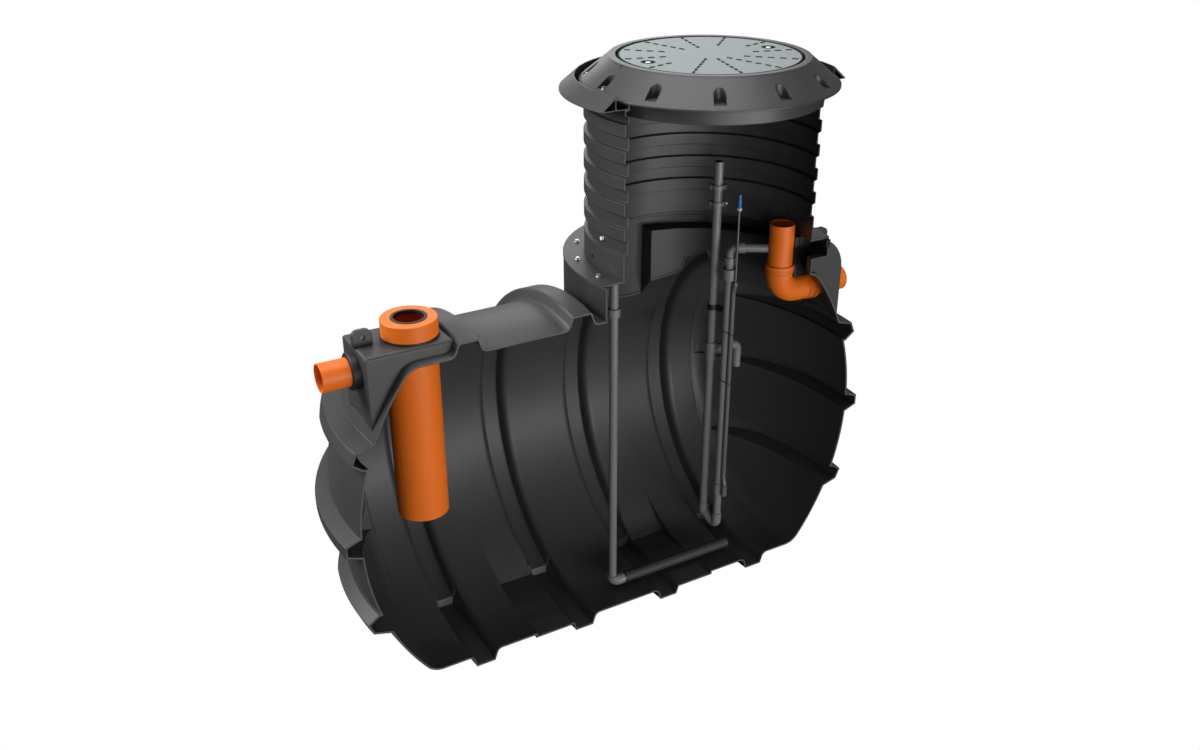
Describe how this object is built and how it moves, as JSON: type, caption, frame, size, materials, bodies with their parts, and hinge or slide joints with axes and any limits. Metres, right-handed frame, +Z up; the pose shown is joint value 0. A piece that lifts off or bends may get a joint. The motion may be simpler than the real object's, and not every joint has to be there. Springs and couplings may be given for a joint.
{
  "type": "packaged sewage treatment plant",
  "caption": "Horizontal ribbed plastic tank cut open lengthwise, with domed ends, orange inlet and outlet pipes, grey lift pipes, a corrugated riser and a round walk-on cover",
  "frame": {"origin": "On the floor under the middle of the whole outline", "axes": "X along the tank from inlet to outlet, Y away from the open side, Z up"},
  "size_m": [2.512, 1.2809, 2.406],
  "materials": {
    "body": "satin dark grey moulded polyethylene",
    "lid": "matte pale grey-green",
    "bolt": "bright",
    "orange_pipe": "smooth orange drain pipe",
    "grey_pipe": "smooth mid grey",
    "seal": "black rubber",
    "black_plastic": "black",
    "air_line": "grey tube",
    "connector": "blue"
  },
  "bodies": {
    "root": {"barrel": "body", "inlet_end_wall": "body", "outlet_end_wall": "body", "inlet_box": "body", "outlet_box": "body", "neck": "body", "flange": "body", "neck_gasket": "seal", "riser": "body", "skirt_ring": "body", "lid_frame": "body", "lid": "lid", "lid_bolts": "bolt", "frame_bolts": "bolt", "flange_bolts": "bolt", "inlet_pipe": "orange_pipe", "inlet_seal": "seal", "dip_pipe": "orange_pipe", "dip_collar": "orange_pipe", "collar_seal": "seal", "mouth_seal": "seal", "upstand": "orange_pipe", "outlet_bend": "orange_pipe", "outlet_pipe": "orange_pipe", "outlet_seal": "seal", "upstand_bracket": "black_plastic", "column_pipe": "grey_pipe", "column_coupler": "grey_pipe", "column_elbow": "grey_pipe", "diffuser": "black_plastic", "lift_pipe": "grey_pipe", "lift_outlet": "grey_pipe", "lift_union": "grey_pipe", "lift_coupler": "grey_pipe", "foot_bend": "grey_pipe", "feed_pipe": "grey_pipe", "feed_tee": "grey_pipe", "feed_branch": "grey_pipe", "pipe_clip": "black_plastic", "feed_clamp": "black_plastic", "air_pipe": "air_line", "air_connector": "connector", "air_joint": "air_line", "inlet_lug": "body", "outlet_lug": "body"}
  },
  "joints": []
}
